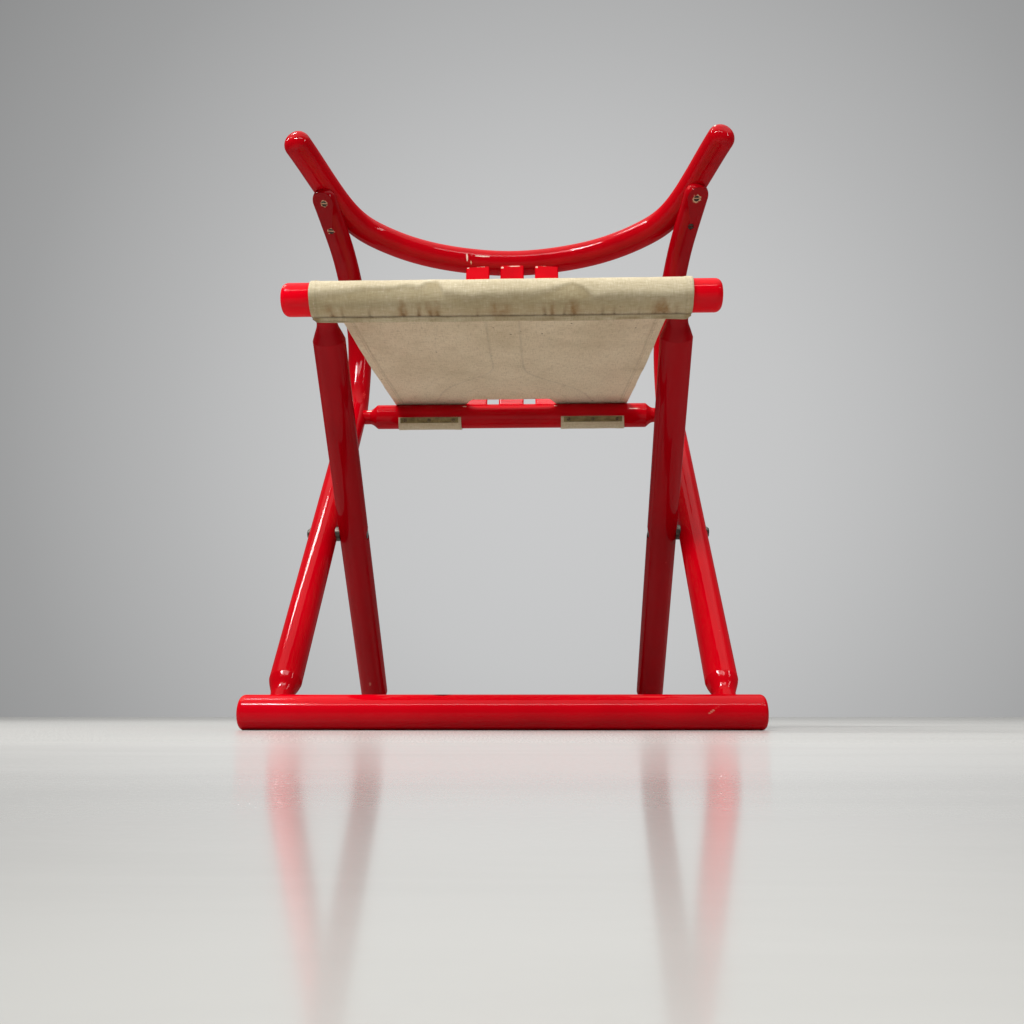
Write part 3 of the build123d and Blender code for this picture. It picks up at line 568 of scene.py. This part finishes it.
    # tidy edge waviness
    X = X + 0.0007 * np.sign(X) * value_noise(S + 3, np.abs(X) * 0 + 0.3, 21, 40.0) * (edge < 0.002)
    top_v = np.stack([X, y + ny * (disp + up), z + nz * (disp + up)], -1)
    bot_v = np.stack([X, y + ny * (disp - dn), z + nz * (disp - dn)], -1)
    # per-vertex colour: rust, grime mixed with painted shade, and seam lines with painted shade in folds and creases
    reach = 0.0225
    rust = np.zeros_like(X)
    for k, (x0, a, w, b) in enumerate(MARKS):
        lean = 0.07 * ((k * 7) % 5 - 2) * (S - 0.002)
        tall = reach * (0.65 + 0.5 * b)
        rust += 1.75 * b * np.exp(-((X - x0 - lean) / (w * 0.0013)) ** 2) * np.clip(1 - S / tall, 0, 1) ** 0.45 * (0.80 + 0.9 * value_noise(X * 1.5, S, 31 + k, 220.0))
    rust = np.clip(rust, 0, 1) * on_sleeve
    gn = value_noise(X + 7, S * 0.6 + 1, 13, 17.0) + 0.6 * value_noise(X + 2, S, 14, 45.0) + 0.35 * value_noise(X, S + 4, 16, 120.0)
    # painted shade: the sleeve's front is darker below the fold line, where it turns down out of the light, mixed with
    # grime; above the fold it gets only light grime
    grime_and_shade = on_sleeve * (below * np.clip(0.55 + 0.45 * gn, 0, 1) + (1 - below) * np.clip(0.06 + 0.26 * gn, 0, 1) * np.clip(vis * 3, 0, 1))
    # painted highlight: less grime in a thin line just above the seam, where the rolled cloth catches the light
    grime_and_shade = grime_and_shade * np.where(on_sleeve, 1 - 0.55 * np.exp(-((S - 0.0052) / 0.0016) ** 2), 1.0)
    # the panel gets patchy grime, a dirty band on its right side, and is darker close to the front rail
    rear_band = np.exp(-((y - 0.020) / 0.005) ** 2) * smooth(0.03, 0.09, X) * 0.5 * np.clip(0.5 + 1.5 * gn, 0, 1)
    grime_and_shade = grime_and_shade + on_panel * (np.clip(0.10 + 1.25 * gn, 0, 1) * 0.50 + rear_band + 0.30 * (1 - smooth(0.0, 0.05, f)))
    # painted shade: the pucker lines above the seam, the fold at the seam and the underside creases are darkened below;
    # the hem edges get dark lines too
    line = on_sleeve * np.clip(pucker, 0, 1) ** 1.5 * np.clip(1 - S / 0.0150, 0, 1) ** 0.6
    seam_and_crease_shade = 0.31 * cr + on_sleeve * np.exp(-(S / 0.0030) ** 2) * 1.0 + 0.50 * line
    seam_and_crease_shade = seam_and_crease_shade + on_sleeve * np.exp(-((edge - 0.0078) / 0.0008) ** 2) * 0.16
    seam_and_crease_shade = seam_and_crease_shade + on_panel * np.exp(-((edge - hem_w) / 0.0009) ** 2) * 0.30
    seam_and_crease_shade = np.clip(seam_and_crease_shade, 0, 1)
    grime_and_shade = grime_and_shade + on_sleeve * np.exp(-((X - 0.201) / 0.005) ** 2) * np.clip(1 - S / 0.012, 0, 1) * 0.9
    grime_and_shade = np.clip(grime_and_shade, 0, 1)

    idx = np.arange(n_rows * n_cols).reshape(n_rows, n_cols)
    keep = np.ones((n_rows - 1, n_cols - 1), bool)
    keep[n_top:, NL:NL + NM] = False
    used = np.zeros((n_rows, n_cols), bool)
    a = keep
    used[:-1, :-1] |= a; used[1:, :-1] |= a; used[:-1, 1:] |= a; used[1:, 1:] |= a
    remap = -np.ones(n_rows * n_cols, int)
    remap[used.ravel()] = np.arange(used.sum())
    nv = int(used.sum())
    q = np.stack([idx[:-1, :-1], idx[:-1, 1:], idx[1:, 1:], idx[1:, :-1]], -1)[keep]
    q = remap[q]
    verts = np.concatenate([top_v.reshape(-1, 3)[used.ravel()], bot_v.reshape(-1, 3)[used.ravel()]])
    faces = [q[:, ::-1], q + nv]
    # rim
    edges = {}
    e_all = np.concatenate([q[:, [0, 1]], q[:, [1, 2]], q[:, [2, 3]], q[:, [3, 0]]])
    key = np.sort(e_all, 1)
    _, first, cnt = np.unique(key, axis=0, return_index=True, return_counts=True)
    rim = e_all[first[cnt == 1]]
    faces.append(np.stack([rim[:, 0], rim[:, 1], rim[:, 1] + nv, rim[:, 0] + nv], 1))
    F = np.concatenate(faces)
    mid = np.stack([X, y, z], -1)
    d1 = mid[1:, 1:] - mid[:-1, :-1]; d2 = mid[1:, :-1] - mid[:-1, 1:]
    area = float((0.5 * np.linalg.norm(np.cross(d1, d2), axis=-1))[keep].sum())
    m = bpy.data.meshes.new("canvas_seat")
    m.from_pydata(verts.tolist(), [], F.tolist())
    flat = used.ravel()
    for name, val in (("rust", rust), ("grime_and_shade", grime_and_shade), ("seam_and_crease_shade", seam_and_crease_shade)):
        at = m.attributes.new(name, "FLOAT", "POINT")
        v = val.ravel()[flat]
        under_scale = {"rust": 0.2, "grime_and_shade": 0.80, "seam_and_crease_shade": 0.9}[name]
        vt = v * np.where(S.ravel()[flat] > LA + 0.004, {"rust": 1.0, "grime_and_shade": 0.5, "seam_and_crease_shade": 0.45}[name], 1.0)
        at.data.foreach_set("value", np.concatenate([vt, v * under_scale]).astype(np.float32))
    at = m.attributes.new("under", "FLOAT", "POINT")
    at.data.foreach_set("value", np.concatenate([np.zeros(nv), np.where(S.ravel()[flat] > LA * 0.98, 1.0, 0.3)]).astype(np.float32))
    uvv = np.stack([X.ravel()[flat], S.ravel()[flat]], -1)
    uvv = np.concatenate([uvv, uvv])
    uv = m.uv_layers.new(name="UVMap")
    loops = np.zeros(len(m.loops), int)
    m.loops.foreach_get("vertex_index", loops)
    uv.data.foreach_set("uv", uvv[loops].astype(np.float32).ravel())
    m.validate(); m.update()
    m.shade_smooth()
    o = bpy.data.objects.new("canvas_seat", m)
    bpy.context.scene.collection.objects.link(o)
    o.data.materials.append(canvas)
    return o, area


seat, seat_area = build_sheet()


def add_mesh(name, verts, faces, mat, smooth_on=True):
    m = bpy.data.meshes.new(name)
    m.from_pydata([tuple(v) for v in verts], [], [tuple(f) for f in faces])
    m.validate(); m.update()
    if smooth_on:
        m.shade_smooth()
    o = bpy.data.objects.new(name, m)
    bpy.context.scene.collection.objects.link(o)
    m.materials.append(mat)
    return o


def ribbon(name, mid, nrm, thick, mat, attrs, cols, uvs):
    """a thick strip: mid and nrm are (rows, cols, 3) arrays"""
    r, c = mid.shape[:2]
    up = mid + nrm * thick / 2
    dn = mid - nrm * thick / 2
    v = np.concatenate([up.reshape(-1, 3), dn.reshape(-1, 3)])
    idx = np.arange(r * c).reshape(r, c)
    q = np.stack([idx[:-1, :-1], idx[:-1, 1:], idx[1:, 1:], idx[1:, :-1]], -1).reshape(-1, 4)
    e_all = np.concatenate([q[:, [0, 1]], q[:, [1, 2]], q[:, [2, 3]], q[:, [3, 0]]])
    key = np.sort(e_all, 1)
    _, first, cnt = np.unique(key, axis=0, return_index=True, return_counts=True)
    rim = e_all[first[cnt == 1]]
    n = r * c
    F = np.concatenate([q[:, ::-1], q + n, np.stack([rim[:, 0], rim[:, 1], rim[:, 1] + n, rim[:, 0] + n], 1)])
    o = add_mesh(name, v.tolist(), F.tolist(), mat)
    m = o.data
    for an, val in attrs.items():
        at = m.attributes.new(an, "FLOAT", "POINT")
        at.data.foreach_set("value", np.concatenate([val.ravel(), val.ravel()]).astype(np.float32))
    uvv = np.concatenate([uvs.reshape(-1, 2), uvs.reshape(-1, 2)])
    uv = m.uv_layers.new(name="UVMap")
    loops = np.zeros(len(m.loops), int)
    m.loops.foreach_get("vertex_index", loops)
    uv.data.foreach_set("uv", uvv[loops].astype(np.float32).ravel())
    return o


# hem flap under the front sleeve: two layers sewn together along the seam, hanging back along the legs
def flap():
    cols = 330
    x = np.linspace(-SLEEVE_HALF + 0.0005, SLEEVE_HALF - 0.0005, cols)
    rows = 9
    t = np.linspace(0, 1, rows)
    y0, z0, ny, nz = [float(a) for a in profile(0.0)]
    Xg, Tg = np.meshgrid(x, t)
    length = 0.0060 + 0.0012 * value_noise(Xg + 2, Tg * 0, 41, 30.0)
    # rounded outer corners
    ed = SLEEVE_HALF - np.abs(Xg)
    length = length * (0.45 + 0.55 * smooth(0.0, 0.006, ed))
    bend = math.radians(-60) + 0.18 * value_noise(Xg + 5, Tg * 0.4, 43, 22.0) - 0.12 * smooth(0.170, 0.180, np.abs(Xg))
    wav = 0.0009 * value_noise(Xg, Tg * 0.01, 44, 55.0) * Tg
    yy = y0 - 0.0002 + length * Tg * np.cos(bend) + wav
    zz = z0 - 0.0004 + length * Tg * np.sin(bend) + wav * 0.4
    nrm = np.stack([0 * Xg, np.sin(-bend) * 1.0, -np.cos(bend)], -1)
    nrm = np.stack([0 * Xg, np.sin(bend), -np.cos(bend)], -1)
    mid = np.stack([Xg, yy, zz], -1)
    stain = np.clip(0.35 + 0.8 * value_noise(Xg, Tg * 0.02, 45, 70.0), 0, 1)
    for x0, a, w, b in MARKS:
        stain = stain + 0.30 * b * np.exp(-((Xg - x0) / 0.004) ** 2)
    stain = stain + 0.9 * np.exp(-((np.abs(Xg) - 0.199) / 0.005) ** 2)
    # painted shade: the flap gets a raised grime level because it lies in the sleeve's shadow, and is darkened next to
    # the seam, in the fold; the marks and ends are stains
    return ribbon("canvas_hem_flap", mid, nrm, 0.0018, canvas,
                  {"grime_and_shade": np.clip(0.12 + stain * 0.55, 0, 1), "seam_and_crease_shade": np.clip(1 - Tg / 0.30, 0, 1) * 0.95 + np.exp(-((Tg - 0.66) / 0.08) ** 2) * 0.14,
                   "under": np.full(Xg.shape, 0.75), "rust": np.clip(stain - 0.10, 0, 1) * 0.55}, None, np.stack([Xg, Tg * 0.009], -1))


hem_flap = flap()


# the layer that closes the sleeve behind the rail, between the legs
def closing():
    cols, rows = 150, 12
    x = np.linspace(-0.174, 0.174, cols)
    t = np.linspace(0, 1, rows)
    Xg, Tg = np.meshgrid(x, t)
    ya, za = RAIL_C[0] + 0.006, RAIL_C[1] - R1 - 0.0012
    yb = RAIL_C[0] + 0.052
    s_b = LA + 0.052
    zb = float(profile(s_b)[1]) - 0.0046
    # leaves the rail's lower side and rises to the seat
    yy = ya + (yb - ya) * Tg
    zz = za + (zb - za) * (Tg ** 1.15) - 0.0012 * np.sin(np.pi * Tg)
    zz = zz + 0.0006 * value_noise(Xg, Tg * 0.05, 51, 25.0) * np.sin(np.pi * Tg)
    # clear the rail
    dy, dz = yy - RAIL_C[0], zz - RAIL_C[1]
    rr = np.hypot(dy, dz)
    k = np.maximum(1.0, (R1 + 0.0004) / rr)
    yy, zz = RAIL_C[0] + dy * k, RAIL_C[1] + dz * k
    nrm = np.stack([0 * Xg, 0.62 + 0 * Xg, -0.78 + 0 * Xg], -1)
    mid = np.stack([Xg, yy, zz], -1)
    return ribbon("canvas_sleeve_back", mid, nrm, 0.0011, canvas,
                  {"grime_and_shade": np.full(Xg.shape, 0.2), "seam_and_crease_shade": np.exp(-((Tg - 0.93) / 0.02) ** 2) * 0.4, "under": np.ones(Xg.shape), "rust": np.zeros(Xg.shape)},
                  None, np.stack([Xg, Tg * 0.06], -1))


sleeve_back = closing()


# stitches: short raised threads
def stitches(name, runs, length=0.0030, pitch=0.0042, rad=0.00038):
    V, F = [], []
    ring = 7
    for pts, nrm in runs:
        pts = np.array(pts, float); nrm = np.array(nrm, float)
        seg = np.linalg.norm(np.diff(pts, axis=0), axis=1)
        cum = np.concatenate([[0], np.cumsum(seg)])
        k = int(cum[-1] // pitch)
        for i in range(k):
            c = pitch * (i + 0.5)
            line = []
            for u in (-0.5, -0.25, 0.0, 0.25, 0.5):
                s = min(max(c + u * length, 0), cum[-1])
                p = np.array([np.interp(s, cum, pts[:, j]) for j in range(3)])
                n = np.array([np.interp(s, cum, nrm[:, j]) for j in range(3)])
                n /= np.linalg.norm(n)
                line.append((p + n * (0.00030 * math.cos(math.pi * u) - 0.00012), n, rad * (0.35 + 0.65 * math.cos(math.pi * u) ** 0.5)))
            base = len(V)
            tdir = line[-1][0] - line[0][0]
            tdir /= np.linalg.norm(tdir)
            for p, n, r in line:
                side = np.cross(tdir, n)
                side /= np.linalg.norm(side)
                for a in range(ring):
                    th = 2 * math.pi * a / ring
                    V.append(p + r * (math.cos(th) * side + math.sin(th) * n))
            for j in range(len(line) - 1):
                for a in range(ring):
                    b = (a + 1) % ring
                    F.append((base + j * ring + a, base + j * ring + b, base + (j + 1) * ring + b, base + (j + 1) * ring + a))
            F.append(tuple(base + a for a in reversed(range(ring))))
            F.append(tuple(base + (len(line) - 1) * ring + a for a in range(ring)))
    return add_mesh(name, V, F, thread.mat)


def surf_point(x, s, side=1, extra=0.0):
    """point on the outer (1) or under (-1) face of the seat, with the same sag as the sheet"""
    y, z, ny, nz = [np.asarray(a, float) for a in profile(s)]
    f = np.clip((s - LA) / LB, 0, 1)
    h = half_width(s)
    on = (s > LA) & (s < LA + LB)
    sag = -0.0058 * np.sin(np.pi * f) ** 1.2 * (1 - 0.30 * (x / h) ** 2)
    rip = 0.0016 * value_noise(x + 1.3, s + 0.7, 3, 14.0) + 0.0008 * value_noise(x + 2.1, s, 5, 34.0)
    disp = np.where(on, sag + rip * np.sin(np.pi * f) ** 0.7, 0.0)
    if side > 0:
        off = disp + T / 2 + np.where(s <= LA, 0.0013, 0.00015) + extra
    else:
        off = disp - T / 2 - 0.00075 - extra
    p = np.stack([x, y + ny * off, z + nz * off], -1)
    n = np.stack([0 * x, ny * side, nz * side], -1)
    return p, n


runs_top, runs_under = [], []
for sgn in (-1, 1):
    s = np.linspace(0.003, LA * 0.97, 60)
    x = sgn * (half_width(s) - 0.0052)
    runs_top.append(surf_point(x, s, 1, -0.0003))
    s = np.linspace(LA + 0.020, LA + LB - 0.004, 160)
    x = sgn * (half_width(s) - 0.0088)
    runs_top.append(surf_point(x, s, 1))
    runs_under.append(surf_point(x, s[:], -1))
xs = np.linspace(-0.199, 0.199, 200)
sx = np.full_like(xs, 0.0032)
thread_top = stitches("seat_stitching", [(p, n) for p, n in runs_top])
thread_under = stitches("seat_stitching_under", [(p, n) for p, n in runs_under])
# the cut-out's hem
cx = np.linspace(-0.048, 0.048, 60)
cut_run = surf_point(cx, cut_profile(cx) - 0.0062, 1)
cut_run_u = surf_point(cx, cut_profile(cx) - 0.0062, -1)
thread_cut = stitches("cutout_stitching", [cut_run, cut_run_u])
# seam behind the front sleeve, through the seat
s_seam = LA + 0.049
xs2 = np.linspace(-0.170, 0.170, 120)
seam_run = surf_point(xs2, np.full_like(xs2, s_seam), 1)
thread_seam = stitches("sleeve_stitching", [seam_run])

# ---------------------------------------------------------------- what rides on what
for piece in (seat, thread_top, thread_under, thread_cut, thread_seam):
    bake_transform(piece)
for piece in (hem_flap, sleeve_back):
    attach(piece, "frame_B")
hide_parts("canvas_sleeve", "seat_panel", "canvas_lobe_left", "canvas_lobe_right")

# ---------------------------------------------------------------- floor
fm = N("studio_floor")
fo = fm.co.outputs["Object"]
fn = fm.noise(fo, 2.2, 3.0)
fine = fm.noise(fo, 520.0, 3.0, 0.6)
sepf = fm.new("ShaderNodeSeparateXYZ")
fm.link(fo, sepf.inputs[0])
# painted shade: the floor's colour is darker towards the camera, standing in for less light falling there
near_camera_shade = fm.maprange(sepf.outputs[1], -1.19, -0.95, 0.0, 1.0, "LINEAR")
col = fm.mix(near_camera_shade, (0.362, 0.359, 0.342), (0.445, 0.441, 0.422))
col = fm.mix(fm.maprange(fn, 0.35, 0.65, 0.0, 0.22, "LINEAR"), col, (0.40, 0.40, 0.385))
col = fm.mix(fm.maprange(fine, 0.35, 0.65, 0.0, 0.10, "LINEAR"), col, (0.36, 0.355, 0.34))
# wear in the polish: long faint streaks across the floor
streaks = fm.noise(fm.vmath("MULTIPLY", fo, (0.7, 3.0, 1.0)), 4.5, 6.0, 0.72, 0.3)
col = fm.mix(fm.maprange(streaks, 0.44, 0.62, 0.0, 0.20, "LINEAR"), col, (0.30, 0.297, 0.283))
fm.link(col, fm.bsdf.inputs["Base Color"])
fm.link(fm.math("ADD", fm.maprange(fine, 0.3, 0.7, -0.02, 0.02, "LINEAR"), fm.maprange(sepf.outputs[1], -1.10, -0.65, 0.12, 0.27, "LINEAR")), fm.bsdf.inputs["Roughness"])
fm.link(fm.bump(fn, 0.002, 0.03), fm.bsdf.inputs["Normal"])
fm.bsdf.inputs["Specular IOR Level"].default_value = 0.20
ring_n = 128
fv = [(0, 0, 0)] + [(14 * math.cos(2 * math.pi * i / ring_n), 14 * math.sin(2 * math.pi * i / ring_n), 0) for i in range(ring_n)]
ff = [(0, 1 + i, 1 + (i + 1) % ring_n) for i in range(ring_n)]
floor = add_mesh("studio_floor", fv, ff, fm.mat, False)
floor.location.z = -0.0002

# ---------------------------------------------------------------- world and lights
w = bpy.data.worlds.new("studio")
bpy.context.scene.world = w
w.use_nodes = True
wt = w.node_tree
wt.nodes.clear()
wo = wt.nodes.new("ShaderNodeOutputWorld")
bg = wt.nodes.new("ShaderNodeBackground")
tc = wt.nodes.new("ShaderNodeTexCoord")


def wnode(kind, **kw):
    n = wt.nodes.new(kind)
    for k, v in kw.items():
        setattr(n, k, v)
    return n


# grey wall behind, falling off to the sides, dim room in front, a broad soft ceiling above
dot = wnode("ShaderNodeVectorMath", operation="DOT_PRODUCT")
dot.inputs[1].default_value = Vector((0.022, 0.965, 0.26)).normalized()
wt.links.new(tc.outputs["Generated"], dot.inputs[0])
ramp = wnode("ShaderNodeValToRGB")
wt.links.new(dot.outputs["Value"], ramp.inputs[0])
els = ramp.color_ramp.elements
els[0].position = 0.0; els[0].color = (0.12, 0.12, 0.12, 1)
els[1].position = 1.0; els[1].color = (0.585, 0.588, 0.592, 1)
for pos, c in ((0.60, 0.20), (0.80, 0.262), (0.87, 0.345), (0.93, 0.455), (0.975, 0.555)):
    e = els.new(pos)
    e.color = (c, c * 1.006, c * 1.01, 1)
xyz = wnode("ShaderNodeSeparateXYZ")
wt.links.new(tc.outputs["Generated"], xyz.inputs[0])
up = wnode("ShaderNodeMapRange", interpolation_type="SMOOTHSTEP")
wt.links.new(xyz.outputs[2], up.inputs["Value"])
up.inputs["From Min"].default_value = 0.66
up.inputs["From Max"].default_value = 0.86
mixc = wnode("ShaderNodeMix", data_type="RGBA")
wt.links.new(up.outputs["Result"], mixc.inputs[0])
wt.links.new(ramp.outputs[0], mixc.inputs[6])
mixc.inputs[7].default_value = (1.75, 1.73, 1.69, 1)
wt.links.new(mixc.outputs[2], bg.inputs[0])
bg.inputs[1].default_value = 1.0
wt.links.new(bg.outputs[0], wo.inputs[0])


def area_light(name, loc, aim, size, power, colour=(1, 1, 1)):
    l = bpy.data.lights.new(name, "AREA")
    l.shape = "RECTANGLE"
    l.size, l.size_y = size
    l.energy = power
    l.color = colour
    o = bpy.data.objects.new(name, l)
    o.location = loc
    o.rotation_mode = "QUATERNION"
    o.rotation_quaternion = (Vector(aim) - Vector(loc)).to_track_quat("-Z", "Y")
    bpy.context.scene.collection.objects.link(o)
    return o


area_light("ceiling_front", (-0.05, -2.2, 2.6), (-0.1, -0.1, 0.4), (2.6, 0.28), 29)
area_light("window_left", (-1.22, -1.85, 2.50), (-0.05, 0.05, 0.60), (0.66, 0.30), 58)
area_light("ceiling_left", (-1.40, 0.17, 2.5), (-0.25, 0.0, 0.3), (0.17, 1.15), 36)
area_light("side_right", (2.4, -1.2, 2.2), (0.2, 0.1, 0.6), (0.30, 1.0), 16)

# ---------------------------------------------------------------- camera
cam = bpy.data.cameras.new("camera")
cam.sensor_width = 36.0
cam.lens = 1000.0 / 1024.0 * 36.0
cam.clip_start, cam.clip_end = 0.02, 60
co = bpy.data.objects.new("camera", cam)
bpy.context.scene.collection.objects.link(co)
pitch = math.atan(204.0 / 1000.0)
yaw = math.atan(28.0 / 1000.0)
fwd = Vector((-math.sin(yaw) * math.cos(pitch), math.cos(yaw) * math.cos(pitch), math.sin(pitch)))
co.location = (0.040, -1.034 - OY, 0.0140)
co.rotation_mode = "QUATERNION"
co.rotation_quaternion = fwd.to_track_quat("-Z", "Y")
bpy.context.scene.camera = co

bpy.context.scene.view_settings.view_transform = "Standard"
